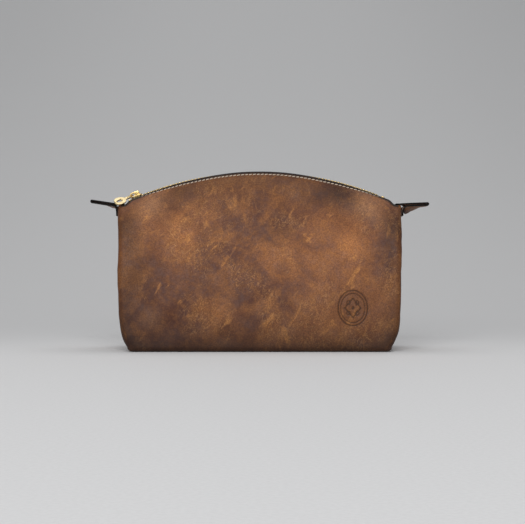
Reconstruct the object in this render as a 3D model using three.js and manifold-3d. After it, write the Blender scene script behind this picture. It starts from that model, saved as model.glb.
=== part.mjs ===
// A leather shaving kit bag with an arched zip along its top and a grab tab at each end.
// Millimetres. X runs along the width, Y from the front (-) to the back (+), Z up.
// The origin is on the floor, under the middle of the bag.
import * as THREE from "three";
import { mergeVertices } from "three/addons/utils/BufferGeometryUtils.js";
import Module from "manifold-3d";

const wasm = await Module();
wasm.setup();

// ---- Driving dimensions ----
const BASE_HALF_DEPTH = 45; // half the front-to-back depth at the floor
const SIDE_HALF_WIDTH = 129.4; // half the width at the top corners
const SIDE_WAIST = 2.2; // how far the sides stand in from there, below the corners
const WAIST_TOP = 133; // heights between which the sides run out to the corners
const WAIST_BOTTOM = 98;
const BASE_TUCK = 12.6; // how far the sides pull in at the floor
const TUCK_HEIGHT = 14.5; // height over which that pull fades out
const END_X = 127.2; // where the profile of the panels' ends is taken
const FLANK_X = 100; // the walls are stepped finely beyond this, where their edges dip

const LEATHER = 1.6;
const CLOTH = 0.5;
const TAPE = 0.6;
const GAP = 0.3; // between pieces that lie on each other

const ZIP_RADIUS = 293; // the zip lies on an arc in the XZ plane
const ZIP_APEX = 161; // height of the chain's middle at the top of the arc
const CHAIN_HALF_THICKNESS = 1.2;
const CHAIN_START = -115.6; // along the arc from its top; the slider's nose fills the rest
const CHAIN_END = 113.5;
const TOOTH_PITCH = 4.4;
const TOOTH_WIDTH = 1.8;
const TOOTH_RAMP = 0.1;
const TOOTH_ROOT = 1.9; // distances from the zip's middle line
const TOOTH_OVERLAP = 0.7;
const BEAD_BACK = 3.1;
const TAPE_EDGE = 3.4;
const TAPE_TUCK = 12; // how far the tape reaches down inside the panel

const PANEL_EDGE_Y = 7; // half the slot between the two panels' top edges
const END_TOP = 131.5; // height of the bag's top at its ends
const DIP_START = 116.5; // where the top edges leave the arc, towards the ends
const DIP_END = 122.5;
const TAPE_LAG = 3; // how much later the tape leaves the arc

const SLIDER_ANGLE = -22.6; // degrees round the arc, closed
const TAB_REACH = 25.6; // how far a tab stands out from the side
const TAB_ROOT_WIDTH = 16;
const TAB_TIP_WIDTH = 13;
const TAB_LEATHER = 1.4;

// ---- Materials ----
const finish = (color, roughness, metalness = 0) =>
  new THREE.MeshStandardMaterial({ color, roughness, metalness });
const brownLeather = finish(0x7a5340, 0.55);
const tabLeather = finish(0x5d3f30, 0.55);
const brass = finish(0xd8b468, 0.28, 1);
const darkTape = finish(0x1d1613, 0.9);
const lining = finish(0x4a4036, 0.95);

// ---- Shape helpers ----
const lerp = (a, b, t) => a + (b - a) * t;
const smooth = (a, b, v) => {
  const t = Math.min(1, Math.max(0, (v - a) / (b - a)));
  return t * t * (3 - 2 * t);
};

function signedVolume(geometry) {
  const p = geometry.getAttribute("position");
  const index = geometry.index;
  const [a, b, c] = [0, 1, 2].map(() => new THREE.Vector3());
  let six = 0;
  for (let i = 0; i < index.count; i += 3) {
    a.fromBufferAttribute(p, index.getX(i));
    b.fromBufferAttribute(p, index.getX(i + 1));
    c.fromBufferAttribute(p, index.getX(i + 2));
    six += a.dot(b.cross(c));
  }
  return six / 6;
}

// Turns every face round when the faces point inwards.
function facingOut(geometry) {
  if (signedVolume(geometry) < 0) geometry.index.array.reverse();
  geometry.computeVertexNormals();
  return geometry;
}

// A box of nu by nv by nw cells, each corner moved to place(u, v, w), where u, v and w run from 0 to 1.
function bentSheet(nu, nv, place, nw = 1) {
  const box = new THREE.BoxGeometry(1, 1, 1, nu, nv, nw);
  const p = box.getAttribute("position");
  for (let i = 0; i < p.count; i++)
    p.setXYZ(i, ...place(p.getX(i) + 0.5, p.getY(i) + 0.5, p.getZ(i) + 0.5));
  return facingOut(box);
}

function toSolid(geometry) {
  const bare = geometry.clone();
  bare.deleteAttribute("normal");
  bare.deleteAttribute("uv");
  const merged = mergeVertices(bare, 1e-4);
  return new wasm.Manifold(
    new wasm.Mesh({
      numProp: 3,
      vertProperties: merged.getAttribute("position").array,
      triVerts: new Uint32Array(merged.index.array),
    }),
  );
}

function toGeometry(solid) {
  const mesh = solid.getMesh();
  const geometry = new THREE.BufferGeometry();
  geometry.setAttribute("position", new THREE.BufferAttribute(mesh.vertProperties, 3));
  geometry.setIndex(new THREE.BufferAttribute(mesh.triVerts, 1));
  geometry.computeVertexNormals();
  return geometry;
}

const joined = (...geometries) =>
  toGeometry(geometries.map(toSolid).reduce((all, next) => all.add(next)));

function box(x0, x1, y0, y1, z0, z1) {
  const g = new THREE.BoxGeometry(x1 - x0, y1 - y0, z1 - z0);
  return g.translate((x0 + x1) / 2, (y0 + y1) / 2, (z0 + z1) / 2);
}

// A flat plate: an outline in X and Y, extruded along Z from z0 to z1.
function plate(shape, z0, z1) {
  const g = new THREE.ExtrudeGeometry(shape, {
    depth: z1 - z0,
    bevelEnabled: false,
    curveSegments: 8,
  });
  return mergeVertices(g.translate(0, 0, z0));
}

const bag = new THREE.Group();

function add(name, geometry, material, parent = bag) {
  const mesh = new THREE.Mesh(geometry, material);
  mesh.name = name;
  parent.add(mesh);
  return mesh;
}

// ---- The bag's outer form ----
const ARC_CENTRE_Z = ZIP_APEX - ZIP_RADIUS;
const arcZ = (x) => ARC_CENTRE_Z + Math.sqrt(ZIP_RADIUS ** 2 - x ** 2);
const dip = (x, lag = 0) => smooth(DIP_START + lag, DIP_END + lag, Math.abs(x));

// Where the step at u (0 to 1) lies along a wall that reaches halfX either way.
function stepX(u, halfX) {
  const v = 2 * u - 1;
  const flankShare = 0.5;
  const flank = Math.min(FLANK_X, halfX * 0.8);
  const within = Math.min(1, Math.abs(v) / flankShare) * flank;
  const beyond = Math.max(0, (Math.abs(v) - flankShare) / (1 - flankShare)) * (halfX - flank);
  return Math.sign(v) * (within + beyond);
}

// Half the bag's width at a height.
const sideX = (z) =>
  SIDE_HALF_WIDTH -
  SIDE_WAIST * (1 - smooth(WAIST_BOTTOM, WAIST_TOP, z)) -
  BASE_TUCK * Math.exp(-Math.max(0, z) / TUCK_HEIGHT);

// Height of the panels' top edges: level with the chain at the middle, just under it on the flanks.
const edgeZ = (x) => lerp(arcZ(x) + 1 - 1.2 * smooth(10, 70, Math.abs(x)), END_TOP, dip(x));

// The wall's profile at x, from the floor (t = 0) to its top edge (t = 1), as a cubic curve:
// leaning straight to the ridge at the middle, with a square shoulder at the ends.
function wallCurve(x) {
  const m = Math.min(1, Math.abs(x) / END_X) ** 3;
  const at = (middle, end) =>
    new THREE.Vector2(lerp(middle[0], end[0], m), lerp(middle[1], end[1], m));
  return new THREE.CubicBezierCurve(
    new THREE.Vector2(BASE_HALF_DEPTH, 0),
    at([49, 55], [47, 45]),
    at([24, 120], [40, END_TOP + 2]),
    new THREE.Vector2(PANEL_EDGE_Y, edgeZ(x)),
  );
}

// A point of the wall, depth under its outer face: [half depth, height].
function wallPoint(x, t, depth) {
  const curve = wallCurve(x);
  const p = curve.getPoint(t);
  const along = curve.getTangent(t);
  return [p.x - along.y * depth, p.y + along.x * depth];
}

// A layer of one wall: side is -1 at the front and 1 at the back.
function wallLayer(side, { halfX = END_X, t0 = 0, t1 = 1, depth, thick, nu = 28, nv = 18 }) {
  return bentSheet(nu, nv, (u, v, w) => {
    const x = stepX(u, halfX);
    const [y, z] = wallPoint(x, lerp(t0, t1, v), depth + thick * w);
    const widthHere = (sideX(z) - (SIDE_HALF_WIDTH - END_X)) / END_X;
    return [x * widthHere, side * y, Math.max(0, z)];
  });
}

// A layer of one end: side is -1 at the left and 1 at the right. It fills the ends' profile.
function endLayer(side, { inset, t0 = 0, t1 = 1, depth, thick, nu = 8, nv = 18 }) {
  return bentSheet(nu, nv, (u, v, w) => {
    const [halfY, z] = wallPoint(END_X, lerp(t0, t1, v), inset);
    const x = sideX(z) - depth - thick * w;
    return [side * x, lerp(-halfY, halfY, u), Math.max(0, z)];
  });
}

const SIDES = { front: -1, back: 1 };
const ENDS = { left: -1, right: 1 };

// ---- Outer leather and its lining ----
const tapeDepth = LEATHER + 3 * GAP;
const liningDepth = tapeDepth + TAPE + 2 * GAP;
const liningArea = { halfX: END_X - 2.5, t0: 0.05, t1: 0.93 };

for (const [name, side] of Object.entries(SIDES)) {
  add(`${name}_panel`, wallLayer(side, { depth: 0, thick: LEATHER }), brownLeather);
  add(
    `${name}_lining`,
    wallLayer(side, { ...liningArea, depth: liningDepth, thick: CLOTH, nv: 10 }),
    lining,
  );
}

for (const [name, side] of Object.entries(ENDS)) {
  add(`${name}_gusset`, endLayer(side, { inset: 0, depth: 0, thick: LEATHER }), brownLeather);
  const inner = { inset: liningDepth + CLOTH + 3 * GAP, t0: 0.06, t1: 0.9 };
  add(
    `${name}_lining`,
    endLayer(side, { ...inner, depth: LEATHER + 2 * GAP, thick: CLOTH, nu: 4, nv: 14 }),
    lining,
  );
}

const baseHalfX = sideX(0) - LEATHER - GAP;
const baseHalfY = BASE_HALF_DEPTH - LEATHER - GAP;
add("base_panel", box(-baseHalfX, baseHalfX, -baseHalfY, baseHalfY, 0, LEATHER), brownLeather);
const liningInset = 3;
const baseLiningZ = LEATHER + GAP;
add(
  "base_lining",
  box(
    liningInset - baseHalfX,
    baseHalfX - liningInset,
    liningInset - baseHalfY,
    baseHalfY - liningInset,
    baseLiningZ,
    baseLiningZ + CLOTH,
  ),
  lining,
);

// A flat slip pocket sewn on the back lining.
const pocketDepth = liningDepth + CLOTH + 2 * GAP;
add(
  "inner_pocket",
  wallLayer(SIDES.back, {
    halfX: 78,
    t0: 0.16,
    t1: 0.58,
    depth: pocketDepth,
    thick: CLOTH,
    nu: 12,
    nv: 6,
  }),
  lining,
);

// ---- The zip: two tapes, two rows of teeth, stops ----
// Each tape runs level from the teeth to the panel's edge, then down inside the panel.
function tape(side) {
  const levelShare = 1 / 3;
  const halfX = END_X - 1.2;
  return bentSheet(56, 6, (u, v, w) => {
    const x = stepX(u, halfX);
    const tuck = Math.max(0, (v - levelShare) / (1 - levelShare));
    const t = 1 - (tuck * TAPE_TUCK) / wallCurve(x).getLength();
    const [y, z] = wallPoint(x, t, tapeDepth + TAPE * w);
    if (v >= levelShare) return [x, side * y, z];
    const innerZ = lerp(arcZ(x), END_TOP - tapeDepth, dip(x, TAPE_LAG)) + TAPE * (0.5 - w);
    const share = v / levelShare;
    return [x, side * lerp(TAPE_EDGE, y, share), lerp(innerZ, z, share)];
  });
}

// A point on the arc, s along it from its top and h above it.
const onArc = (s, y, h) => {
  const angle = s / ZIP_RADIUS;
  const r = ZIP_RADIUS + h;
  return [r * Math.sin(angle), y, ARC_CENTRE_Z + r * Math.cos(angle)];
};

// One row: a bead along the tape's edge, with teeth that reach between those of the other row.
function teeth(side, phase) {
  const length = CHAIN_END - CHAIN_START;
  const count = Math.floor((length - phase - TOOTH_WIDTH) / TOOTH_PITCH);
  const stations = [[CHAIN_START, TOOTH_ROOT]];
  for (let i = 0; i < count; i++) {
    const s = CHAIN_START + phase + (i + 0.5) * TOOTH_PITCH;
    stations.push([s, TOOTH_ROOT], [s + TOOTH_RAMP, -TOOTH_OVERLAP]);
    stations.push([s + TOOTH_WIDTH, -TOOTH_OVERLAP], [s + TOOTH_WIDTH + TOOTH_RAMP, TOOTH_ROOT]);
  }
  stations.push([CHAIN_END, TOOTH_ROOT]);
  const last = stations.length - 1;
  return bentSheet(last, 1, (u, v, w) => {
    const [s, reach] = stations[Math.round(u * last)];
    return onArc(s, side * lerp(BEAD_BACK, reach, v), CHAIN_HALF_THICKNESS * (2 * w - 1));
  });
}

for (const [name, side] of Object.entries(SIDES)) {
  add(`zip_tape_${name}`, tape(side), darkTape);
  add(`zip_teeth_${name}`, teeth(side, side < 0 ? 0 : TOOTH_PITCH / 2), brass);
}

// ---- What rides on the arc: a group at the arc's centre, turned to an angle ----
function carriage(degrees) {
  const pivot = new THREE.Group();
  pivot.position.z = ARC_CENTRE_Z;
  pivot.rotation.y = THREE.MathUtils.degToRad(degrees);
  const seat = new THREE.Group();
  seat.position.z = ZIP_RADIUS;
  pivot.add(seat);
  bag.add(pivot);
  return seat;
}

// Stops clamp the tape's beads past the teeth: two single ones at the left, one across both at the right.
const STOP_HALF_HEIGHT = 1.4;
const TOP_STOP_HALF_LENGTH = 0.9;
const TOP_STOP_INNER = 0.5; // how near a top stop comes to the zip's middle line
const BOTTOM_STOP_HALF_LENGTH = 1.5;
const TOP_STOP_PAST = 7; // how far the stops lie past the chain's ends, along the arc
const BOTTOM_STOP_PAST = 2.2;
const degreesAt = (s) => THREE.MathUtils.radToDeg(s / ZIP_RADIUS);
const leftStops = carriage(degreesAt(CHAIN_START - TOP_STOP_PAST));
for (const [name, side] of Object.entries(SIDES)) {
  const [y0, y1] = side < 0 ? [-BEAD_BACK, -TOP_STOP_INNER] : [TOP_STOP_INNER, BEAD_BACK];
  const halfLength = TOP_STOP_HALF_LENGTH;
  const stop = box(-halfLength, halfLength, y0, y1, -STOP_HALF_HEIGHT, STOP_HALF_HEIGHT);
  add(`top_stop_${name}`, stop, brass, leftStops);
}
const bottomStop = box(
  -BOTTOM_STOP_HALF_LENGTH,
  BOTTOM_STOP_HALF_LENGTH,
  -BEAD_BACK,
  BEAD_BACK,
  -STOP_HALF_HEIGHT,
  STOP_HALF_HEIGHT,
);
add("bottom_stop", bottomStop, brass, carriage(degreesAt(CHAIN_END + BOTTOM_STOP_PAST)));

// ---- The slider ----
const SLIDER_HALF_LENGTH = 5.3;
const SLIDER_NOSE_HALF_WIDTH = 4.6; // at the end that parts the rows
const SLIDER_TAIL_HALF_WIDTH = 4;
const CHANNEL_HALF = 1.6; // half the height of the channel that the chain runs in
const PLATE = 1;
const SLIDER_TOP = CHANNEL_HALF + PLATE; // above the chain's middle

const SLIDER_CORNER = 1.6; // how far each corner's curve reaches along the slider
const NOSE_CORNER = 1.4; // and across it
const TAIL_CORNER = 1.4;

function sliderOutline() {
  const s = new THREE.Shape();
  const [end, nose, tail] = [SLIDER_HALF_LENGTH, SLIDER_NOSE_HALF_WIDTH, SLIDER_TAIL_HALF_WIDTH];
  s.moveTo(SLIDER_CORNER - end, -nose);
  s.lineTo(0, -nose);
  s.lineTo(end - SLIDER_CORNER, -tail);
  s.quadraticCurveTo(end, -tail, end, TAIL_CORNER - tail);
  s.lineTo(end, tail - TAIL_CORNER);
  s.quadraticCurveTo(end, tail, end - SLIDER_CORNER, tail);
  s.lineTo(0, nose);
  s.lineTo(SLIDER_CORNER - end, nose);
  s.quadraticCurveTo(-end, nose, -end, nose - NOSE_CORNER);
  s.lineTo(-end, NOSE_CORNER - nose);
  s.quadraticCurveTo(-end, -nose, SLIDER_CORNER - end, -nose);
  return s;
}

// The post that parts the rows, near the nose, and the lips that hold the teeth in.
const POST = { from: -4.9, to: -3.1, halfWidth: 1 };
const LIP = { from: -2.4, to: 3.8, inner: 3.5, outer: 3.9, gap: 1 }; // gap: half the slot that the tape leaves by
const BITE = 0.3; // how far the post and the lips run into the plates

// Two plates joined by the post that parts the rows, with lips that hold the teeth in.
function sliderBody() {
  const outline = sliderOutline();
  const reach = CHANNEL_HALF + BITE;
  const parts = [
    plate(outline, CHANNEL_HALF, SLIDER_TOP),
    plate(outline, -SLIDER_TOP, -CHANNEL_HALF),
    box(POST.from, POST.to, -POST.halfWidth, POST.halfWidth, -reach, reach),
  ];
  for (const y of [-1, 1]) {
    for (const z of [-1, 1]) {
      const ys = [y * LIP.inner, y * LIP.outer].sort((a, b) => a - b);
      const zs = [z * LIP.gap, z * reach].sort((a, b) => a - b);
      parts.push(box(LIP.from, LIP.to, ...ys, ...zs));
    }
  }
  return joined(...parts);
}

// The arch that holds the pull's ring, riveted on the top plate.
const BRIDGE_HALF_WIDTH = 1.1;
const BRIDGE_BAR = 0.9;
const BRIDGE_FROM = -5.2; // along the slider
const BRIDGE_TO = 3.6;
const BRIDGE_CONTROL = 5.2; // the height of the outer curve's control points
const INNER_CONTROL = 3.8;
const BRIDGE_LEAN = 1.5; // how far the control points stand in from the tail's foot
function bridge() {
  const [innerFrom, innerTo] = [BRIDGE_FROM + BRIDGE_BAR, BRIDGE_TO - BRIDGE_BAR];
  const s = new THREE.Shape();
  s.moveTo(BRIDGE_FROM, 0);
  s.bezierCurveTo(BRIDGE_FROM, BRIDGE_CONTROL, BRIDGE_TO - BRIDGE_LEAN, BRIDGE_CONTROL, BRIDGE_TO, 0);
  s.lineTo(innerTo, 0);
  s.bezierCurveTo(innerTo - BRIDGE_LEAN, INNER_CONTROL, innerFrom, INNER_CONTROL, innerFrom, 0);
  s.closePath();
  const g = plate(s, -BRIDGE_HALF_WIDTH, BRIDGE_HALF_WIDTH);
  return g.rotateX(Math.PI / 2).translate(0, 0, SLIDER_TOP + GAP / 2);
}

const slider = carriage(SLIDER_ANGLE);
add("slider_body", sliderBody(), brass, slider);
add("slider_bridge", bridge(), brass, slider);

// ---- The pull: a ring through the bridge, and a flared tab whose knuckle hangs on the ring ----
const WIRE = 0.5; // radius of the ring's wire
const RING_HALF_LENGTH = 3.6;
const RING_HALF_WIDTH = 2.8;
const RING_TILT = THREE.MathUtils.degToRad(12); // its front side hangs lower
const ringEye = new THREE.Vector3(-2.7, 0, SLIDER_TOP + 1.4); // where the ring passes the bridge
const ring = new THREE.TorusGeometry(1, WIRE / RING_HALF_WIDTH, 8, 24);
ring.scale(RING_HALF_LENGTH, RING_HALF_WIDTH, RING_HALF_WIDTH).rotateX(RING_TILT);
const ringCentre = ringEye.clone().add(new THREE.Vector3(-RING_HALF_LENGTH, 0, 0));
add("pull_link", ring.translate(...ringCentre), brass, slider);

const PULL_LENGTH = 17.5;
const PULL_START = 1.9; // from the knuckle's axis
const PULL_NECK_HALF_WIDTH = 0.9;
const PULL_NECK_END = 5.2;
const PULL_FLARE = 3.6; // half width of the first control point, which makes the shoulders full
const PULL_HALF_WIDTH = 4.7;
const PULL_THICK = 1.2;
const SLOT_HALF_LENGTH = 3.2;
const SLOT_RADIUS = 1.2;
const SLOT_SHORT_OF_SHOULDER = 0.6;
const KNUCKLE_OUTER = 1.45;
const KNUCKLE_BORE = 1;
const KNUCKLE_LENGTH = 1.6;

// The tab's outline: its length along +X from the knuckle, with a slot along the middle of its broad end.
function pullOutline() {
  const s = new THREE.Shape();
  const [neck, half] = [PULL_NECK_HALF_WIDTH, PULL_HALF_WIDTH];
  const shoulder = PULL_LENGTH - half;
  const fullX = shoulder - 4;
  const flareX = PULL_NECK_END + 1;
  s.moveTo(PULL_START, -neck);
  s.lineTo(PULL_NECK_END, -neck);
  s.bezierCurveTo(flareX, -PULL_FLARE, fullX, -half, shoulder, -half);
  s.absarc(shoulder, 0, half, -Math.PI / 2, Math.PI / 2, false);
  s.bezierCurveTo(fullX, half, flareX, PULL_FLARE, PULL_NECK_END, neck);
  s.lineTo(PULL_START, neck);
  s.closePath();
  const slotX = shoulder - SLOT_SHORT_OF_SHOULDER;
  const slotEnd = SLOT_HALF_LENGTH - SLOT_RADIUS;
  const slot = new THREE.Path();
  slot.absarc(slotX - slotEnd, 0, SLOT_RADIUS, Math.PI / 2, (3 * Math.PI) / 2, false);
  slot.absarc(slotX + slotEnd, 0, SLOT_RADIUS, -Math.PI / 2, Math.PI / 2, false);
  slot.closePath();
  s.holes.push(slot);
  return s;
}

// On the slider's own axes the tab runs back, forward and down, over the bag's front shoulder.
const pullAlong = new THREE.Vector3(-0.737, -0.673, -0.07).normalize();
const pullAcross = new THREE.Vector3(0.453, -0.416, -0.783);
pullAcross.addScaledVector(pullAlong, -pullAcross.dot(pullAlong)).normalize();

// The stem that joins the knuckle to the tab: along the knuckle, outward from it, and half its thickness.
const STEM = { from: -1.6, to: 0.6, inner: 1.2, outer: 2.7, half: 0.5 };

function pullTab() {
  const face = new THREE.Vector3().crossVectors(pullAlong, pullAcross);
  const tab = plate(pullOutline(), -PULL_THICK / 2, PULL_THICK / 2);
  tab.applyMatrix4(new THREE.Matrix4().makeBasis(pullAlong, pullAcross, face));
  const tube = new THREE.Shape();
  tube.absarc(0, 0, KNUCKLE_OUTER, 0, 2 * Math.PI, false);
  const bore = new THREE.Path();
  bore.absarc(0, 0, KNUCKLE_BORE, 0, 2 * Math.PI, true);
  tube.holes.push(bore);
  const knuckle = plate(tube, -KNUCKLE_LENGTH / 2, KNUCKLE_LENGTH / 2).rotateY(Math.PI / 2);
  const stem = box(STEM.from, STEM.to, -STEM.outer, -STEM.inner, -STEM.half, STEM.half);
  stem.rotateX(Math.atan2(pullAlong.z, pullAlong.y) + Math.PI);
  return joined(tab, knuckle, stem);
}

const knuckleAt = new THREE.Vector3(0, -RING_HALF_WIDTH, 0)
  .applyAxisAngle(new THREE.Vector3(1, 0, 0), RING_TILT)
  .add(ringCentre);
add("pull_tab", pullTab().translate(...knuckleAt), brass, slider);

// ---- The grab tabs: one strip each, folded at the tip, its ends spread over the bag's corner ----
// The strip's middle line, outward from the corner and up from the bag's top.
const foldGap = 0.1;
const halfFold = TAB_LEATHER / 2 + foldGap;
const upperMid = GAP + TAB_LEATHER / 2;
const tipCentre = TAB_REACH - halfFold - TAB_LEATHER / 2;
const tabPath = new THREE.CurvePath();
const v2 = (x, y) => new THREE.Vector2(x, y);
tabPath.add(new THREE.LineCurve(v2(-4.5, upperMid), v2(tipCentre, upperMid)));
const tipArc = new THREE.EllipseCurve(
  tipCentre,
  upperMid - halfFold,
  halfFold,
  halfFold,
  Math.PI / 2,
  -Math.PI / 2,
  true,
);
tabPath.add(tipArc);
const lowerMid = upperMid - 2 * halfFold;
tabPath.add(new THREE.LineCurve(v2(tipCentre, lowerMid), v2(7.5, lowerMid)));
tabPath.add(
  new THREE.CubicBezierCurve(
    v2(7.5, lowerMid),
    v2(4, lowerMid),
    v2(GAP + TAB_LEATHER / 2 + 0.1, -4.2),
    v2(GAP + TAB_LEATHER / 2 + 0.1, -7.8),
  ),
);

// How far a tab tips up towards its end, and how far its front edge is raised, in degrees.
const TABS = { left: { side: -1, rise: 7, roll: 5 }, right: { side: 1, rise: 3.5, roll: 8 } };

function grabTab({ side, rise, roll }) {
  const riseSlope = Math.tan(THREE.MathUtils.degToRad(rise));
  const rollSlope = Math.sin(THREE.MathUtils.degToRad(roll));
  return bentSheet(44, 4, (u, v, w) => {
    const p = tabPath.getPointAt(u);
    const along = tabPath.getTangentAt(u);
    const offset = TAB_LEATHER * (0.5 - w);
    const out = p.x - along.y * offset;
    const up = p.y + along.x * offset;
    const width = lerp(TAB_ROOT_WIDTH, TAB_TIP_WIDTH, smooth(0, TAB_REACH, out));
    const y = (v - 0.5) * width;
    const lift = riseSlope * Math.max(0, out - 2) - y * rollSlope * smooth(1.5, 9, out);
    return [side * (SIDE_HALF_WIDTH + out), y, END_TOP + up + lift];
  });
}

for (const [name, shape] of Object.entries(TABS)) add(`${name}_tab`, grabTab(shape), tabLeather);

export default bag;
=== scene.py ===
"""A leather shaving kit bag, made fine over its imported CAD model.

Lengths here are millimetres, in the CAD model's own frame, and mesh_piece() turns them into metres.
X runs along the width, Y from the front (-) to the back (+), and Z up.
"""

import math

import bmesh
import bpy
import numpy as np
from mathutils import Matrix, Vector


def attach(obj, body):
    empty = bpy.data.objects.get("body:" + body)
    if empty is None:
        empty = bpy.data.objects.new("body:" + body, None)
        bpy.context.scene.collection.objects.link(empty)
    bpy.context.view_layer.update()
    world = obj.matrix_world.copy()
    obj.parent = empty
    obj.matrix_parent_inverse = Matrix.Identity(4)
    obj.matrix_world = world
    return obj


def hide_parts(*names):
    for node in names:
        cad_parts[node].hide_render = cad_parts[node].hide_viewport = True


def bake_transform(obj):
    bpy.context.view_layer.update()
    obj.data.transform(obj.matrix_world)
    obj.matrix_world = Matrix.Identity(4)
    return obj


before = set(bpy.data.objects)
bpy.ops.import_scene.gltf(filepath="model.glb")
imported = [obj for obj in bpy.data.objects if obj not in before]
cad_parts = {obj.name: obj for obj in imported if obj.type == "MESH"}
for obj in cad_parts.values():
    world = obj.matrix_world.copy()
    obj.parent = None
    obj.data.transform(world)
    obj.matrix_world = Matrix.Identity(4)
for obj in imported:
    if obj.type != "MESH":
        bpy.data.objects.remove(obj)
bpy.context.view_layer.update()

MM = 0.001
FRONT = -1
BACK = 1
# side, body and word of each wall; side and word of each end
WALLS = ((FRONT, "bag", "front"), (BACK, "back_wall", "back"))
ENDS = ((-1, "left"), (1, "right"))

# ---- The bag's driving sizes, as in the CAD model ----
BASE_HALF_DEPTH = 45.0
SIDE_HALF_WIDTH = 129.4  # at the top corners
SIDE_WAIST = 2.2  # how far the sides stand in from there, below the corners
WAIST_TOP = 133.0
WAIST_BOTTOM = 98.0
BASE_TUCK = 12.6  # how far the sides pull in at the floor
TUCK_HEIGHT = 14.5
END_X = 127.2
LEATHER = 1.6
CLOTH = 0.5
TAPE = 0.6

ZIP_RADIUS = 293.0
ZIP_APEX = 161.0
ARC_CENTRE_Z = ZIP_APEX - ZIP_RADIUS
CHAIN_START = -115.6
CHAIN_END = 113.5
PANEL_EDGE_Y = 7.0
END_TOP = 131.5
# a wall's two inner control points, at the bag's middle and at its ends: half depth and height
BELLY = ((49.0, 55.0), (47.0, 45.0))
SHOULDER = ((24.0, 120.0), (40.0, END_TOP + 2.0))
EDGE_RISE = 1.0  # how far the raw edge stands over the zip at the middle
EDGE_SINK = 1.2  # how much of that it loses towards the ends
DIP_START = 116.5
DIP_END = 122.5
TAPE_LAG = 3.0
TAPE_TUCK = 12.0
SLIDER_ANGLE = -22.6  # degrees round the zip's arc
TAB_REACH = 25.6
TAB_LEATHER = 1.4

# ---- Sizes of the fine surface ----
CORNER_RADIUS = 8.0  # upright corners, between a wall and an end
TIGHTEST_CORNER = 1.7  # their radius at the zip
CORNER_GROWTH = 0.8  # how fast it grows as the bag gets deeper
ROLL_RADIUS = 5.0  # bottom edges
ROLL_UNDER = 2.5  # how far the walls run on under the bag
GRID_STEP = 2.4
FINE_STEP = 0.5  # round the stamp
EDGE_STEP = 0.9  # beside the raw edge
CLOTH_STEP = 3.0
PROFILE = 168.0  # about a wall's length from the floor to its raw edge
STITCH_PITCH = 3.6
STITCH_LENGTH = 2.7
STITCH_RADIUS = 0.42
STITCH_INSET = 3.0  # below the raw edge
STITCH_SLANT = 0.25  # each end's shift off the row


# ---- Numbers ----
def lerp(a, b, t):
    return a + (b - a) * t


def smooth(a, b, v):
    t = np.clip((np.asarray(v, float) - a) / (b - a), 0, 1)
    return t * t * (3 - 2 * t)


def near(v, centre, half_width):
    """1 at the centre, falling smoothly to 0 at half_width away."""
    return 1 - smooth(0, half_width, np.abs(np.asarray(v, float) - centre))


def unit(v):
    return v / np.maximum(np.linalg.norm(v, axis=-1, keepdims=True), 1e-9)


def ripple(points, wavelength, seed, waves=12):
    """Smooth noise of about -1 to 1: plane waves in fixed random directions."""
    random = np.random.default_rng(seed)
    directions = unit(random.normal(size=(waves, 3)))
    pace = 2 * np.pi / (wavelength * random.uniform(0.7, 1.5, waves))
    phase = random.uniform(0, 2 * np.pi, waves)
    return np.sin(points @ (directions * pace[:, None]).T + phase).sum(-1) / math.sqrt(waves)


def xyz(x, y, z):
    """Points from their three coordinates, any of which may be one number."""
    return np.stack(np.broadcast_arrays(x, y, z), -1)


def steps(start, end, step):
    return np.linspace(start, end, max(2, int(round(abs(end - start) / step)) + 1))


def colour(red, green, blue):
    """A display colour, 0 to 255, as linear RGBA."""
    return (*(((c / 255 + 0.055) / 1.055) ** 2.4 for c in (red, green, blue)), 1.0)


# ---- The bag's form ----
def arc_z(x):
    return ARC_CENTRE_Z + np.sqrt(ZIP_RADIUS**2 - np.minimum(np.abs(x), END_X) ** 2)


def dip(x, lag=0.0):
    """0 along the arch, 1 past the dips beside the ends."""
    return smooth(DIP_START + lag, DIP_END + lag, np.abs(x))


def side_x(z):
    """Half the bag's width at a height."""
    waist = SIDE_WAIST * (1 - smooth(WAIST_BOTTOM, WAIST_TOP, z))
    return SIDE_HALF_WIDTH - waist - BASE_TUCK * np.exp(-np.maximum(0, z) / TUCK_HEIGHT)


def edge_z(x):
    """Height of a wall's raw edge: over the zip, then down at the dip beside each end."""
    ridge = arc_z(x) + EDGE_RISE - EDGE_SINK * smooth(10, 70, np.abs(x))
    return lerp(ridge, END_TOP, dip(x))


def wall_profile(x, t):
    """Half depth, height and outward normal of a wall's profile at x; t is 0 at the floor, 1 at the edge."""
    m = np.minimum(1, np.abs(x) / END_X) ** 3
    corners = [
        (BASE_HALF_DEPTH, 0.0),
        [lerp(middle, end, m) for middle, end in zip(*BELLY)],
        [lerp(middle, end, m) for middle, end in zip(*SHOULDER)],
        (PANEL_EDGE_Y, edge_z(x)),
    ]
    s = 1 - t
    weights = (s**3, 3 * s * s * t, 3 * s * t * t, t**3)
    slopes = (3 * s * s, 6 * s * t, 3 * t * t)
    y, z = (sum(w * c[k] for w, c in zip(weights, corners)) for k in (0, 1))
    dy, dz = (sum(w * (corners[i + 1][k] - corners[i][k]) for i, w in enumerate(slopes)) for k in (0, 1))
    length = np.hypot(dy, dz)
    return y, z, dz / length, -dy / length


def profile_under(x, t, depth):
    """Half depth and height of a wall's profile, depth under its outer face."""
    y, z, normal_y, normal_z = wall_profile(x, t)
    return y - normal_y * depth, z - normal_z * depth


def profile_length(x):
    y, z, _, _ = wall_profile(x, np.linspace(0, 1, 60))
    return np.hypot(np.diff(y), np.diff(z)).sum()


def wall_layer(side, x, t, depth):
    """Points of a layer of one wall, depth under its outer face."""
    y, z = profile_under(x, t, depth)
    reach = side_x(z) / SIDE_HALF_WIDTH
    return xyz(x * reach, side * y, np.maximum(z, 0))


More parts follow.
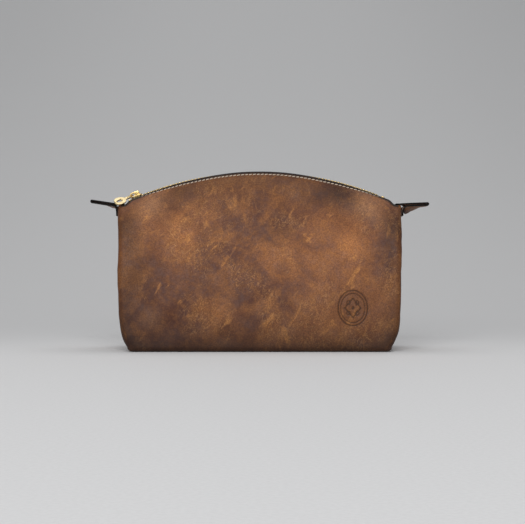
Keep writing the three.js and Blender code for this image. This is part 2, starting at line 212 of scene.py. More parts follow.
def corner_radius(t):
    """Radius of the corner between a wall and an end. It tightens towards the zip."""
    y, _, _, _ = wall_profile(END_X, t)
    return np.minimum(CORNER_RADIUS, TIGHTEST_CORNER + CORNER_GROWTH * (y - PANEL_EDGE_Y))


def zip_point(s, y, h):
    """A point on the zip's arc, s along it from its top and h above it."""
    angle = s / ZIP_RADIUS
    r = ZIP_RADIUS + h
    return xyz(r * np.sin(angle), y, ARC_CENTRE_Z + r * np.cos(angle))


def carried(points, degrees):
    """Points given about a seat on the zip's arc, as points of the bag."""
    points = np.asarray(points, float)
    a = math.radians(degrees)
    radius = points[:, 2] + ZIP_RADIUS
    x = math.cos(a) * points[:, 0] + math.sin(a) * radius
    z = -math.sin(a) * points[:, 0] + math.cos(a) * radius + ARC_CENTRE_Z
    return xyz(x, points[:, 1], z)


# ---- Meshes ----
def grid_faces(rows, cols, start=0):
    index = start + np.arange(rows * cols).reshape(rows, cols)
    quads = [index[:-1, :-1], index[:-1, 1:], index[1:, 1:], index[1:, :-1]]
    return np.stack(quads, -1).reshape(-1, 4)


def grid_normals(points):
    across = np.gradient(points, axis=1)
    up = np.gradient(points, axis=0)
    normals = unit(np.cross(across, up))
    middle = points.reshape(-1, 3).mean(0)
    centre = np.array([0, 0, min(middle[2], 60.0)])
    outward = (normals * (points - centre)).sum()
    return normals if outward > 0 else -normals


def solid_sheet(outer, inner, rim_steps=3):
    """Points, faces and face slots (0 outer, 1 inner, 2 rim) of a sheet with a half-round rim."""
    rows, cols = outer.shape[:2]
    index = np.arange(rows * cols).reshape(rows, cols)
    loop = np.concatenate([index[0, :-1], index[:-1, -1], index[-1, :0:-1], index[:0:-1, 0]])
    r, c = np.divmod(loop, cols)
    out_points, in_points = outer.reshape(-1, 3), inner.reshape(-1, 3)
    inside = out_points[np.clip(r, 1, rows - 2) * cols + np.clip(c, 1, cols - 2)]
    away = unit(out_points[loop] - inside)
    half = np.linalg.norm(out_points[loop] - in_points[loop], axis=1, keepdims=True) / 2
    rings, points = [loop], [out_points, in_points]
    for k in range(1, rim_steps + 1):
        turn = math.pi * k / (rim_steps + 1)
        ring = lerp(out_points[loop], in_points[loop], (1 - math.cos(turn)) / 2)
        rings.append(np.arange(len(loop)) + 2 * rows * cols + (k - 1) * len(loop))
        points.append(ring + away * half * math.sin(turn))
    rings.append(loop + rows * cols)
    faces = [grid_faces(rows, cols), grid_faces(rows, cols, rows * cols)[:, ::-1]]
    slots = [np.full(len(f), i) for i, f in enumerate(faces)]
    for a, b in zip(rings, rings[1:]):
        band = np.stack([a, b, np.roll(b, -1), np.roll(a, -1)], -1)
        faces.append(band)
        slots.append(np.full(len(band), 2))
    return np.vstack(points), np.vstack(faces).tolist(), np.concatenate(slots)


def closed_quads(rows, cols):
    """Faces of a grid of points whose rows and columns both close on themselves."""
    index = np.arange(rows * cols).reshape(rows, cols)
    down = np.roll(index, -1, 0)
    quads = [index, np.roll(index, -1, 1), np.roll(down, -1, 1), down]
    return np.stack(quads, -1).reshape(-1, 4).tolist()


def combine(*parts):
    points, faces, start = [], [], 0
    for part_points, part_faces in parts:
        points.append(np.asarray(part_points, float))
        faces += [[i + start for i in face] for face in part_faces]
        start += len(part_points)
    return np.vstack(points), faces


def mesh_piece(name, points, faces, materials, slots=None):
    """A smooth closed mesh, given in millimetres. It keeps where each point was made, for its materials."""
    metres = np.asarray(points, float) * MM
    mesh = bpy.data.meshes.new(name)
    mesh.from_pydata(metres.tolist(), [], faces)
    for material in materials:
        mesh.materials.append(material)
    if slots is not None:
        mesh.polygons.foreach_set("material_index", np.asarray(slots, np.int32))
    shape = bmesh.new()
    shape.from_mesh(mesh)
    bmesh.ops.recalc_face_normals(shape, faces=shape.faces)
    shape.to_mesh(mesh)
    shape.free()
    mesh.shade_smooth()
    made = mesh.attributes.new("made_at", "FLOAT_VECTOR", "POINT")
    made.data.foreach_set("vector", metres.astype(np.float32).ravel())
    obj = bpy.data.objects.new(name, mesh)
    bpy.context.scene.collection.objects.link(obj)
    return obj


def sheet_piece(name, outer, inner, materials, rim_steps=3):
    """A sheet between two grids of points. Its materials are for its outer face, inner face and rim."""
    points, faces, slots = solid_sheet(outer, inner, rim_steps)
    return mesh_piece(name, points, faces, materials, np.minimum(slots, len(materials) - 1))


def paint(obj, name, tone):
    """Stores a tone for the materials: one number, or one for each point of the outer face, then 0."""
    values = np.zeros(len(obj.data.vertices), np.float32)
    if np.ndim(tone) == 0:
        values[:] = tone
    else:
        values[:tone.size] = tone.ravel()
    attribute = obj.data.attributes.new(name, "FLOAT", "POINT")
    attribute.data.foreach_set("value", values)


def place(obj, body, slot, *nodes):
    """Rides on a body and stands for CAD nodes, which it hides. Its slot is not used. The back wall's pieces
    have their transform baked instead.
    """
    if body == "back_wall":
        open_with_mouth(obj)
    else:
        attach(obj, body)
    if nodes:
        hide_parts(*nodes)
    return obj


def open_with_mouth(obj):
    """Bakes a back wall piece's transform into its mesh, so it stays where it was made."""
    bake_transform(obj)


# ---- Materials ----
class Graph:
    """A material's node tree, with short calls for the nodes used here."""

    def __init__(self, name):
        self.material = bpy.data.materials.new(name)
        self.material.use_nodes = True
        self.tree = self.material.node_tree
        self.tree.nodes.clear()
        self.where = self.put("Attribute", {"attribute_name": "made_at"}).outputs["Vector"]

    def put(self, kind, settings=None, **inputs):
        """A new node, with its settings, and its inputs named with _ for a space."""
        node = self.tree.nodes.new("ShaderNode" + kind)
        for key, value in (settings or {}).items():
            setattr(node, key, value)
        for key, value in inputs.items():
            self.feed(node.inputs[key.replace("_", " ")], value)
        return node

    def feed(self, socket, value):
        if isinstance(value, bpy.types.NodeSocket):
            self.tree.links.new(value, socket)
        else:
            socket.default_value = value

    def noise(self, size, vector=None, detail=2.0, roughness=0.5, distortion=0.0):
        """Noise whose features are about size millimetres."""
        node = self.put(
            "TexNoise",
            Vector=vector or self.where,
            Scale=1 / (size * MM),
            Detail=detail,
            Roughness=roughness,
            Distortion=distortion,
        )
        return node.outputs[0]

    def stretched(self, angles, scale):
        """The piece's coordinates, turned by angles (degrees) and then scaled."""
        turn = self.put("Mapping", Vector=self.where, Rotation=[math.radians(a) for a in angles])
        return self.put("Mapping", Vector=turn.outputs[0], Scale=scale).outputs[0]

    def math(self, operation, a, b=0.0):
        node = self.put("Math", {"operation": operation})
        self.feed(node.inputs[0], a)
        self.feed(node.inputs[1], b)
        return node.outputs[0]

    def span(self, value, low, high, to_low=0.0, to_high=1.0):
        """Maps low..high smoothly to to_low..to_high, and holds it outside."""
        node = self.put("MapRange", {"interpolation_type": "SMOOTHSTEP"})
        for socket, given in zip(node.inputs, (value, low, high, to_low, to_high)):
            self.feed(socket, given)
        return node.outputs[0]

    def mix(self, factor, a, b):
        """One colour blended into another. The Mix node's colours are its inputs 6 and 7."""
        node = self.put("Mix", {"data_type": "RGBA"})
        for index, given in ((0, factor), (6, a), (7, b)):
            self.feed(node.inputs[index], given)
        return node.outputs[2]

    def attribute(self, name):
        return self.put("Attribute", {"attribute_name": name}).outputs["Fac"]

    def bump(self, height, depth, below=None):
        """A bump whose height of 0 to 1 is depth millimetres."""
        node = self.put("Bump", Height=height, Distance=depth * MM, Strength=1.0)
        if below is not None:
            self.feed(node.inputs["Normal"], below)
        return node.outputs[0]

    def finish(self, base, roughness, normal=None, **constants):
        """The finished material. Constants are set on the shader's own inputs."""
        shader = self.put("BsdfPrincipled", Base_Color=base, Roughness=roughness)
        if normal is not None:
            self.feed(shader.inputs["Normal"], normal)
        for key, value in constants.items():
            shader.inputs[key.replace("_", " ")].default_value = value
        self.put("OutputMaterial", Surface=shader.outputs[0])
        return self.material


def hairlines(g, size, squeeze, lean, width, shift):
    """Thin lines where a noise, drawn out along a lean in degrees, crosses its middle."""
    vector = g.put("VectorMath", {"operation": "ADD"})
    g.feed(vector.inputs[0], g.stretched((0, lean, 0), (1.0, 1.0, squeeze)))
    g.feed(vector.inputs[1], (shift, shift, shift))
    n = g.noise(size, vector.outputs[0], detail=3, roughness=0.6, distortion=0.4)
    off = g.math("ABSOLUTE", g.math("SUBTRACT", n, 0.5))
    return g.span(off, 0.0, width, 1.0, 0.0)


# families of fine scratches: size in mm, squeeze along them, lean in degrees, line width and noise shift
SCRATCHES = [
    (9, 0.30, -38, 0.012, 0.31),
    (7, 0.35, 28, 0.010, 0.77),
    (5, 0.25, -8, 0.012, 1.9),
    (6, 0.3, -62, 0.010, 2.7),
]
WRINKLES = (4.2, 1.0, 0, 0.03, 0.13)


def oiled_leather(name, strength=1.0):
    """Oiled pull-up leather: mottled brown, with orange scuffs where it was bent or rubbed, and the painted
    shade and painted highlight that the walls and ends carry.
    """
    g = Graph(name)
    broad = g.noise(85, detail=2, roughness=0.5, distortion=0.4)
    patch = g.noise(26, detail=5, roughness=0.58, distortion=0.7)
    cloud = g.noise(6, detail=4, roughness=0.65)
    fine = g.noise(1.1, detail=2, roughness=0.6)

    # the mottled ground: broad tones, then patches, then clouds
    base = g.mix(g.span(broad, 0.38, 0.60), colour(96, 55, 38), colour(140, 87, 52))
    base = g.mix(g.span(patch, 0.44, 0.68, 0, 0.6), base, colour(168, 108, 56))
    base = g.mix(g.span(patch, 0.47, 0.28, 0, 0.45), base, colour(78, 42, 30))
    base = g.mix(g.span(cloud, 0.38, 0.70, 0, 0.35), base, colour(172, 114, 62))

    # golden where it was bent, and a painted highlight where it stands proud
    gold = g.math("MULTIPLY", g.attribute("gold"), g.span(patch, 0.36, 0.64, 0.4, 1.5))
    base = g.mix(gold, base, colour(198, 128, 70))
    base = g.mix(g.attribute("bloom"), base, colour(218, 168, 126))

    # rubbed marks: short strokes, mostly leaning, in groups
    groups = g.span(g.noise(46, detail=2, distortion=0.3), 0.47, 0.60)
    along = g.stretched((0, -32, 0), (1.0, 1.0, 0.28))
    leaning = g.noise(5.5, along, detail=4, roughness=0.6, distortion=0.5)
    rubbed = g.math("MULTIPLY", g.span(leaning, 0.55, 0.70), groups)
    along = g.stretched((0, 9, 0), (1.0, 1.0, 0.22))
    upright = g.noise(7.5, along, detail=4, roughness=0.6, distortion=0.4)
    upright_groups = g.span(g.noise(60, detail=2, distortion=0.2), 0.50, 0.62)
    streaks = g.math("MULTIPLY", g.span(upright, 0.56, 0.72), upright_groups)
    marks = g.math("MAXIMUM", rubbed, streaks)
    base = g.mix(g.math("MULTIPLY", marks, 0.66 * strength), base, colour(210, 144, 82))

    # fine scratches, pull-up lines, wrinkles and pores
    scratched = g.span(g.noise(34, detail=2, distortion=0.4), 0.46, 0.64)
    lines = 0.0
    for family in SCRATCHES:
        lines = g.math("MAXIMUM", lines, hairlines(g, *family))
    lines = g.math("MULTIPLY", lines, scratched)
    base = g.mix(g.math("MULTIPLY", lines, 0.5 * strength), base, colour(214, 156, 98))
    wrinkles = hairlines(g, *WRINKLES)
    # painted shade: the wrinkles' creases are a little darker
    base = g.mix(g.math("MULTIPLY", wrinkles, 0.18), base, colour(74, 45, 35))
    base = g.mix(g.span(fine, 0.36, 0.64, 0.0, 0.48), base, colour(78, 44, 31))

    # painted shade from the dark attribute, together with the raw edge's painted line, the stamp and darker
    # tones
    base = g.mix(g.attribute("dark"), base, colour(22, 12, 9))

    # the grain's relief, then how dull the oil has left it
    grain = g.bump(g.noise(0.9, detail=2, roughness=0.6), 0.09)
    creased = g.bump(wrinkles, -0.05, grain)
    soft = g.bump(cloud, 0.22, creased)
    raised = g.bump(lines, -0.05, soft)
    rough = g.span(cloud, 0.3, 0.7, 0.46, 0.60)
    rough = g.math("ADD", rough, g.math("MULTIPLY", marks, 0.10))
    return g.finish(base, rough, raised, Specular_IOR_Level=0.27)


def painted_edge(name):
    """Burnished raw edge, painted nearly black."""
    g = Graph(name)
    worn = g.noise(1.6, detail=3)
    base = g.mix(g.span(worn, 0.4, 0.7), colour(8, 6, 5), colour(20, 14, 11))
    return g.finish(base, g.span(worn, 0.3, 0.7, 0.42, 0.6), g.bump(worn, 0.08), Specular_IOR_Level=0.16)


def flesh_side(name):
    """The leather's unfinished inner side."""
    g = Graph(name)
    nap = g.noise(0.6, detail=4, roughness=0.7)
    patch = g.noise(14, detail=3)
    base = g.mix(g.span(patch, 0.35, 0.65), colour(128, 92, 70), colour(154, 114, 88))
    base = g.mix(g.span(nap, 0.35, 0.7, 0, 0.35), base, colour(92, 64, 48))
    return g.finish(base, 0.9, g.bump(nap, 0.12), Sheen_Weight=0.15)


WAVE_SCALE = 0.314  # the wave texture's scale for one wave in each unit of length


def woven(name, dark, light, thread, ribs=1.0):
    """Plain cloth of diagonal and upright ribs. Thread is the width of one yarn in millimetres."""
    g = Graph(name)
    turned = g.stretched((0, 45, 0), (1.0, 1.0, 1.0))
    waves = []
    for axis in ("X", "Z"):
        wave = g.put(
            "TexWave",
            {"wave_type": "BANDS", "bands_direction": axis, "wave_profile": "SIN"},
            Vector=turned if axis == "X" else g.where,
            Scale=WAVE_SCALE / (thread * MM),
            Distortion=0.6,
            Detail=1.0,
            Detail_Scale=2.0,
        )
        waves.append(wave.outputs["Fac"])
    weave = g.math("MULTIPLY", waves[0], waves[1])
    slub = g.noise(2.2, detail=3, roughness=0.6)
    base = g.mix(g.span(weave, 0.05, 0.75), dark, light)
    base = g.mix(g.span(slub, 0.35, 0.7, 0, 0.3), base, dark)
    return g.finish(base, 0.88, g.bump(weave, 0.14 * ribs), Sheen_Weight=0.12)


def metal(name, tint, worn_tint, roughness):
    """Brass with fine polishing lines and a little dulling."""
    g = Graph(name)
    dull = g.noise(2.6, detail=4, roughness=0.65)
    lines = g.noise(0.5, g.stretched((0, 22, 0), (0.12, 1.0, 1.0)), detail=2)
    base = g.mix(g.span(dull, 0.42, 0.72, 0, 0.7), tint, worn_tint)
    rough = g.span(dull, 0.35, 0.7, roughness, roughness + 0.16)
    rough = g.math("ADD", rough, g.math("MULTIPLY", lines, 0.05))
    return g.finish(base, rough, g.bump(lines, 0.012), Metallic=1.0)


def waxed_thread(name):
    g = Graph(name)
    twist = g.put(
        "TexWave",
        {"wave_type": "BANDS", "bands_direction": "DIAGONAL"},
        Vector=g.where,
        Scale=WAVE_SCALE / (STITCH_RADIUS * MM),
        Distortion=0.5,
    ).outputs["Fac"]
    base = g.mix(twist, colour(176, 152, 130), colour(236, 222, 202))
    return g.finish(base, 0.6, g.bump(twist, 0.1), Sheen_Weight=0.1)


brown_leather = oiled_leather("brown_leather")
tab_leather = oiled_leather("tab_leather", 0.7)
edge_paint = painted_edge("edge_paint")
inner_leather = flesh_side("flesh_side")
lining_cloth = woven("lining", colour(58, 48, 38), colour(104, 90, 72), 0.45)
pocket_cloth = woven("pocket_cloth", colour(66, 54, 42), colour(118, 102, 80), 0.45)
tape_cloth = woven("zip_tape", colour(17, 13, 12), colour(48, 39, 34), 0.5, 1.6)
brass = metal("brass", (0.83, 0.60, 0.25, 1), (0.55, 0.36, 0.13, 1), 0.22)
pale_brass = metal("pale_brass", (0.88, 0.72, 0.42, 1), (0.66, 0.50, 0.25, 1), 0.27)
deep_brass = metal("deep_brass", (0.70, 0.45, 0.14, 1), (0.42, 0.26, 0.09, 1), 0.26)
thread = waxed_thread("thread")


# the outer face, the inner face and the rim
LEATHER_FACES = [brown_leather, inner_leather, edge_paint]
TAB_FACES = [tab_leather, inner_leather, edge_paint]


# ---- The leather shell ----
STAMP_X = 82.5
STAMP_Z = 39.0
STAMP_HALF_WIDTH = 13.0
STAMP_HALF_HEIGHT = 15.5
STAMP_DEPTH = 0.5
STAMP_LINE = 0.65  # half the width of a pressed line
STAMP_MARGIN = 3.0  # how far the fine mesh runs past it
STAMP_PETAL = 0.30  # as shares of its half width, like the next three
PETAL_RADIUS = 0.11
INNER_RING = 0.83
LOZENGE = 0.55
STAMP_DOT = 0.8  # its radius


def stamp(x, z):
    """How deep the stamp is pressed, 0 to 1: two oval rings round a lozenge, four petals and a dot."""
    u = (x - STAMP_X) / STAMP_HALF_WIDTH
    v = (z - STAMP_Z) / STAMP_HALF_HEIGHT
    oval = np.hypot(u, v)
    scale = (STAMP_HALF_WIDTH + STAMP_HALF_HEIGHT) / 2
    lozenge = np.abs(u) + np.abs(v)
    petal = np.hypot(np.abs(u) - STAMP_PETAL, np.abs(v) - STAMP_PETAL)
    distances = [
        np.abs(oval - 1.0) * scale,
        np.abs(oval - INNER_RING) * scale * 1.4,
        np.abs(lozenge - LOZENGE) * scale * 0.72,
        oval * scale - STAMP_DOT,
        np.abs(petal - PETAL_RADIUS) * scale * 1.3,
    ]
    pressed = 0
    for d in distances:
        pressed = np.maximum(pressed, 1 - smooth(STAMP_LINE * 0.45, STAMP_LINE * 1.25, d))
    return pressed


def undulation(points):
    """The leather's soft unevenness, in millimetres along its normal."""
    return (
        0.9 * ripple(points, 62, 3)
        + 0.35 * ripple(points, 24, 5)
        + 0.10 * ripple(points, 9, 8)
    )


# under the edge beside each end, a hollow and the soft ridge that it leaves:
# place out from the middle, half width, place below the edge, half height and rise
EDGE_SWELLS = [(70, 38, 20, 26, -1.6), (99, 26, 17, 26, 1.3)]
# a diagonal fold and its valley rise from each bottom corner, about this place:
# place across it, half width, place along it, half length and rise
CORNER_SWELLS = [(0, 13, 0, 34, 1.2), (-15, 12, -4, 30, -0.9)]
CORNER_FOLD_X = 88.0
CORNER_FOLD_Z = 34.0
FOLD_RUN = 0.62  # its slope: this far inwards
FOLD_RISE = 0.78  # for this far up
GROOVE_DEPTH = 0.22  # under the stitches
CREASE_DEPTH = 0.35  # near the bottom right corner of the front


def wall_shape(points, side):
    """Folds and hollows of a wall, in millimetres along its normal."""
    x, z = points[..., 0], points[..., 2]
    below_edge = edge_z(x) - z
    rise = undulation(points) * smooth(2, 22, below_edge) * smooth(0, 16, z)
    for end in (-1, 1):
        for out, half_width, below, half_height, height in EDGE_SWELLS:
            rise = rise + height * near(end * x, out, half_width) * near(below_edge, below, half_height)
        from_x, from_z = end * x - CORNER_FOLD_X, z - CORNER_FOLD_Z
        across = from_x * FOLD_RISE + from_z * FOLD_RUN
        along = from_z * FOLD_RISE - from_x * FOLD_RUN
        for at_across, half_width, at_along, half_length, height in CORNER_SWELLS:
            rise = rise + height * near(across, at_across, half_width) * near(along, at_along, half_length)
    rise = rise - GROOVE_DEPTH * near(below_edge, STITCH_INSET, 1.6)
    if side == FRONT:
        rise = rise - CREASE_DEPTH * near(z, 12.5, 2.2) * near(x, 78, 26)
    return rise


def bottom_roll(first_row):
    """Rows that turn a wall's first row in under the bag, from the seam under it outwards."""
    across = np.gradient(first_row, axis=0)
    normals = unit(xyz(across[:, 1], -across[:, 0], 0))
    if (normals * first_row)[:, :2].sum() < 0:
        normals = -normals
    rows = []
    heights = first_row[:, 2:3]
    for under in (ROLL_UNDER, ROLL_UNDER * 0.5):
        rows.append(first_row * [1, 1, 0] - normals * (ROLL_RADIUS + under))
    for turn in np.radians(np.linspace(90, 12, 7)):
        inset = ROLL_RADIUS * (1 - math.cos(turn))
        row = first_row * [1, 1, 0] - normals * inset
        rows.append(row + heights * (1 - math.sin(turn)) * [0, 0, 1])
    return np.stack(rows)


ROLL_TOP = 0.032  # where a wall starts over the bottom roll, as a share of its profile
EDGE_FROM = 0.93  # where the steps get finer, and the next of them
EDGE_NEXT = 0.937


def wall_rows(fine):
    """Steps up a wall, from the top of the bottom roll to the raw edge."""
    step = GRID_STEP / PROFILE
    edge_step = EDGE_STEP / PROFILE
    if not fine:
        return np.concatenate([steps(ROLL_TOP, EDGE_FROM, step), steps(EDGE_NEXT, 1, edge_step)])
    low = (STAMP_Z - STAMP_HALF_HEIGHT - STAMP_MARGIN) / PROFILE
    high = (STAMP_Z + STAMP_HALF_HEIGHT + STAMP_MARGIN) / PROFILE
    return np.concatenate([
        steps(ROLL_TOP, low, step)[:-1],
        steps(low, high, FINE_STEP / PROFILE)[:-1],
        steps(high, EDGE_FROM, step)[:-1],
        steps(EDGE_FROM, 1, edge_step),
    ])


def wall_columns(fine):
    """Steps along a wall: -1 to 1 across its flat, and one more unit round each corner."""
    flat_half = SIDE_HALF_WIDTH - CORNER_RADIUS
    step = GRID_STEP / flat_half
    if fine:
        low = (STAMP_X - STAMP_HALF_WIDTH - STAMP_MARGIN) / flat_half
        high = (STAMP_X + STAMP_HALF_WIDTH + STAMP_MARGIN) / flat_half
        flat = np.concatenate([
            steps(-1, low, step)[:-1],
            steps(low, high, FINE_STEP / flat_half)[:-1],
            steps(high, 1, step),
        ])
    else:
        flat = steps(-1, 1, step)
    round_it = np.linspace(0, 1, 10)[1:]
    return np.concatenate([-1 - round_it[::-1], flat, 1 + round_it])


def wall_surface(side, rows, columns):
    """A wall's outer face, from the seam on one end, round the corners, to the seam on the other end."""
    t, q = np.meshgrid(rows, columns, indexing="ij")
    radius = corner_radius(t)
    x = np.clip(q, -1, 1) * (SIDE_HALF_WIDTH - radius)
    flat = wall_layer(side, x * END_X / SIDE_HALF_WIDTH, t, 0)
    flat[..., 0] *= SIDE_HALF_WIDTH / END_X
    corner, seam = (
        xyz(np.sign(q) * side_x(z), side * y, z)
        for y, z in (profile_under(END_X, t, 0), profile_under(END_X, t, radius))
    )
    v = np.clip(np.abs(q) - 1, 0, 1)[..., None]
    rounded = (1 - v) ** 2 * flat + 2 * v * (1 - v) * corner + v**2 * seam
    surface = np.where(v > 0, rounded, flat)
    surface[..., 2] = np.maximum(surface[..., 2], 0)
    return surface


def leather_piece(name, outer, shape, **tones):
    """A leather sheet whose outer face is moved along its normals by shape, and painted in its tones."""
    normals = grid_normals(outer)
    face = outer + normals * shape[..., None]
    face[..., 2] = np.maximum(face[..., 2], 0)
    inner = face - grid_normals(face) * LEATHER
    inner[..., 2] = np.maximum(inner[..., 2], 0)
    obj = sheet_piece(name, face, inner, LEATHER_FACES)
    for tone, values in tones.items():
        paint(obj, tone, values)
    return obj


# where the leather has been bent, and patches of painted shade:
# centre x and z, half width, half height and strength
GOLD_PATCHES = [
    (-69, 100, 20, 60, 0.40),
    (24, 78, 50, 34, 0.36),
    (80, 94, 26, 34, 0.38),
    (-30, 34, 24, 18, 0.12),
]
SHADE_PATCHES = [
    (-106, 68, 24, 44, 0.24),
    (62, 140, 40, 16, 0.10),
    (16, 108, 34, 18, 0.16),
    (84, 44, 30, 26, 0.20),
]


DARKEST = 0.80
EDGE_LINE_DARK = 0.94
STAMP_DARK = 0.62
SEAM_DARK = 0.6
BASE_DARK = 0.25
SEAM_DEPTH = 0.8
SEAM_COLUMNS = 8 / 3  # how many columns of points the dip beside a seam takes
EDGE_DROP = 0.8


def patches(x, z, places):
    """The sum of soft patches at a place."""
    total = 0 * x
    for centre_x, centre_z, half_x, half_z, strength in places:
        total = total + strength * near(x, centre_x, half_x) * near(z, centre_z, half_z)
    return total


def wall_tones(face, side, pressed):
    """How dark, how pale and how golden a wall's leather is: painted shade, the edge line and the stamp make
    it dark, and a painted highlight makes it pale.
    """
    x, z = face[..., 0], face[..., 2]
    out = np.abs(x)
    below_edge = edge_z(x) - z
    # painted shade: darker under the zip, in a band under the edge beside each end, over the bottom, down
    # both sides, and below the upper corners where the leather turns away
    dark = 0.42 * (1 - smooth(0, 46, below_edge)) * (1 - smooth(70, 100, out))
    dark = dark + 0.18 * near(out, 74, 26) * near(below_edge, 8, 18)
    dark = dark + 0.92 * np.exp(-np.maximum(0, z) / 24)
    dark = dark + 0.30 * smooth(98, 124, out) * smooth(30, 50, below_edge)
    dark = dark + 0.55 * smooth(100, 122, out) * near(z, 111, 30)
    dark = np.minimum(dark + patches(x, z, SHADE_PATCHES), DARKEST)
    # the painted line at the raw edge, and the pressed stamp
    line = (1 - smooth(1.4, 2.4, below_edge)) * (out < SIDE_HALF_WIDTH - 3)
    dark = np.maximum(dark, EDGE_LINE_DARK * line)
    dark = 1 - (1 - dark) * (1 - STAMP_DARK * pressed)
    # painted highlight where the upper corners and the front's lower left fold stand proud and face the light
    bloom = 0.30 * near(out, 98, 24) * near(below_edge, 14, 20)
    bloom = bloom + 0.16 * near(x, -96, 20) * near(z, 27, 18) * (side == FRONT)
    gold = patches(x, z, GOLD_PATCHES)
    return np.clip(dark, 0, 1), np.clip(bloom, 0, 1), np.clip(gold, 0, 1)


def lowered(points):
    """Lets a wall's raw edge sink beside each end, where the zip stands a little above it."""
    x, z = points[..., 0], points[..., 2]
    sink = EDGE_DROP * near(np.abs(x), 98, 30) * smooth(-24, 0, z - edge_z(x))
    return points - sink[..., None] * [0, 0, 1]


def beside_seams(columns):
    """1 at the seams at both ends of a piece's rows, and 0 in from them."""
    near_first = 1 - smooth(0, SEAM_COLUMNS, np.arange(columns))
    return (near_first + near_first[::-1])[None, :]


def build_wall(name, side, body, node):
    fine = side == FRONT
    surface = wall_surface(side, wall_rows(fine), wall_columns(fine))
    outer = lowered(np.concatenate([bottom_roll(surface[0]), surface]))
    seams = beside_seams(outer.shape[1])
    shape = wall_shape(outer, side) - SEAM_DEPTH * seams
    pressed = stamp(outer[..., 0], outer[..., 2]) if fine else 0 * shape
    shape = shape - STAMP_DEPTH * pressed
    dark, bloom, gold = wall_tones(outer, side, pressed)
    # painted shade in the seam creases at both ends of the wall
    dark = np.maximum(dark, SEAM_DARK * np.clip(seams, 0, 1))
    obj = leather_piece(name, outer, shape, dark=dark, bloom=bloom, gold=gold)
    return place(obj, body, "brown_leather", node)


END_DISH = 2.2
SEAM_GAP = 0.25


def build_end(name, side, node):
    """An end of the bag, between the seams where the two walls' corners stop."""
    t = wall_rows(False)[:, None]
    half, height = profile_under(END_X, t, corner_radius(t) + SEAM_GAP)
    across = np.linspace(-1, 1, 41)[None, :]
    dish = END_DISH * (1 - across**2) * smooth(5, 50, height) * (1 - smooth(100, 128, height))
    surface = xyz(side * (side_x(height) - dish), half * across, height)
    outer = np.concatenate([bottom_roll(surface[0]), surface])
    seams = beside_seams(outer.shape[1])
    z = outer[..., 2]
    shape = undulation(outer) * 0.7 * smooth(0, 16, z) * smooth(0, 20, END_TOP - z)
    shape = shape * (1 - np.clip(seams, 0, 1)) - SEAM_DEPTH * seams
    # painted shade: darker towards the bottom and in the seam creases, and a little darker all over
    dark = np.maximum(0.7 * np.exp(-np.maximum(0, z) / 18), SEAM_DARK * np.clip(seams, 0, 1))
    obj = leather_piece(name, outer, shape, dark=dark + 0.1)
    return place(obj, "bag", "brown_leather", node)


def build_base():
    """The flat bottom piece, butted against the walls' turned edges."""
    inset = ROLL_RADIUS + ROLL_UNDER + SEAM_GAP + LEATHER / 2
    x = steps(-(side_x(0) - inset), side_x(0) - inset, 3.0)
    y = steps(-(BASE_HALF_DEPTH - inset), BASE_HALF_DEPTH - inset, 3.0)
    grid_x, grid_y = np.meshgrid(x, y)
    outer = xyz(grid_x, grid_y, 0)
    obj = sheet_piece("base_leather", outer, outer + [0, 0, LEATHER], LEATHER_FACES)
    paint(obj, "dark", BASE_DARK)
    return place(obj, "bag", "brown_leather", "base_panel")


for side, body, word in WALLS:
    build_wall(f"{word}_leather", side, body, f"{word}_panel")
for side, word in ENDS:
    build_end(f"{word}_end_leather", side, f"{word}_gusset")
build_base()


# ---- Stitches ----
def capsule(start, end, radius, sides=8, rings=5):
    """A round-ended thread stitch from start to end."""
    axis = unit(end - start)
    side_a = unit(np.cross(axis, [0.3, 0.5, 0.8]))
    side_b = np.cross(axis, side_a)
    length = np.linalg.norm(end - start)
    centre_line, widths = [], []
    quarter = np.radians(np.linspace(0, 90, rings))[:-1]
    for middle, turns in ((radius, -quarter[::-1]), (length - radius, quarter)):
        for turn in turns:
            centre_line.append(start + axis * (middle + radius * math.sin(turn)))
            widths.append(radius * math.cos(turn))
    points, faces = [start], []
    around = [2 * math.pi * i / sides for i in range(sides)]
    for centre, width in zip(centre_line, widths):
        points += [centre + width * (math.cos(a) * side_a + math.sin(a) * side_b) for a in around]
    points.append(end)
    rows = len(centre_line)
    for i in range(sides):
        j = (i + 1) % sides
        faces.append([0, 1 + j, 1 + i])
        for r in range(rows - 1):
            at = 1 + r * sides
            faces.append([at + i, at + j, at + sides + j, at + sides + i])
        last = 1 + (rows - 1) * sides
        faces.append([last + i, last + j, len(points) - 1])
    return np.array(points), faces


def stitch_row(name, line, out, body):
    """Stitches along line, a list of points with their outward normals in out."""
    distance = np.concatenate([[0], np.cumsum(np.linalg.norm(np.diff(line, axis=0), axis=1))])
    count = int(distance[-1] / STITCH_PITCH)
    parts = []
    for i in range(count):
        ends = []
        for offset in (-STITCH_LENGTH / 2, STITCH_LENGTH / 2):
            at = (i + 0.5) * STITCH_PITCH + offset
            point = np.array([np.interp(at, distance, line[:, k]) for k in range(3)])
            normal = unit(np.array([np.interp(at, distance, out[:, k]) for k in range(3)]))
            ends.append((point + normal * STITCH_RADIUS * 0.35, normal))
        (start, normal), (end, _) = ends
        up = unit(np.cross(end - start, normal)) * STITCH_SLANT
        parts.append(capsule(start + up, end - up, STITCH_RADIUS))
    points, faces = combine(*parts)
    obj = mesh_piece(name, points, faces, [thread])
    return place(obj, body, "brown_leather")


STITCH_START_X = -112.0
STITCH_END_X = 114.5

for side, body, word in WALLS:
    xs = steps(STITCH_START_X, STITCH_END_X, 1.5)
    t = np.array([1 - STITCH_INSET / profile_length(x) for x in xs])
    y, z, normal_y, normal_z = wall_profile(xs, t)
    line = lowered(xyz(xs, side * y, z))
    out = xyz(0, side * normal_y, normal_z)
    stitch_row(f"{word}_stitches", line + out * wall_shape(line, side)[:, None], out, body)


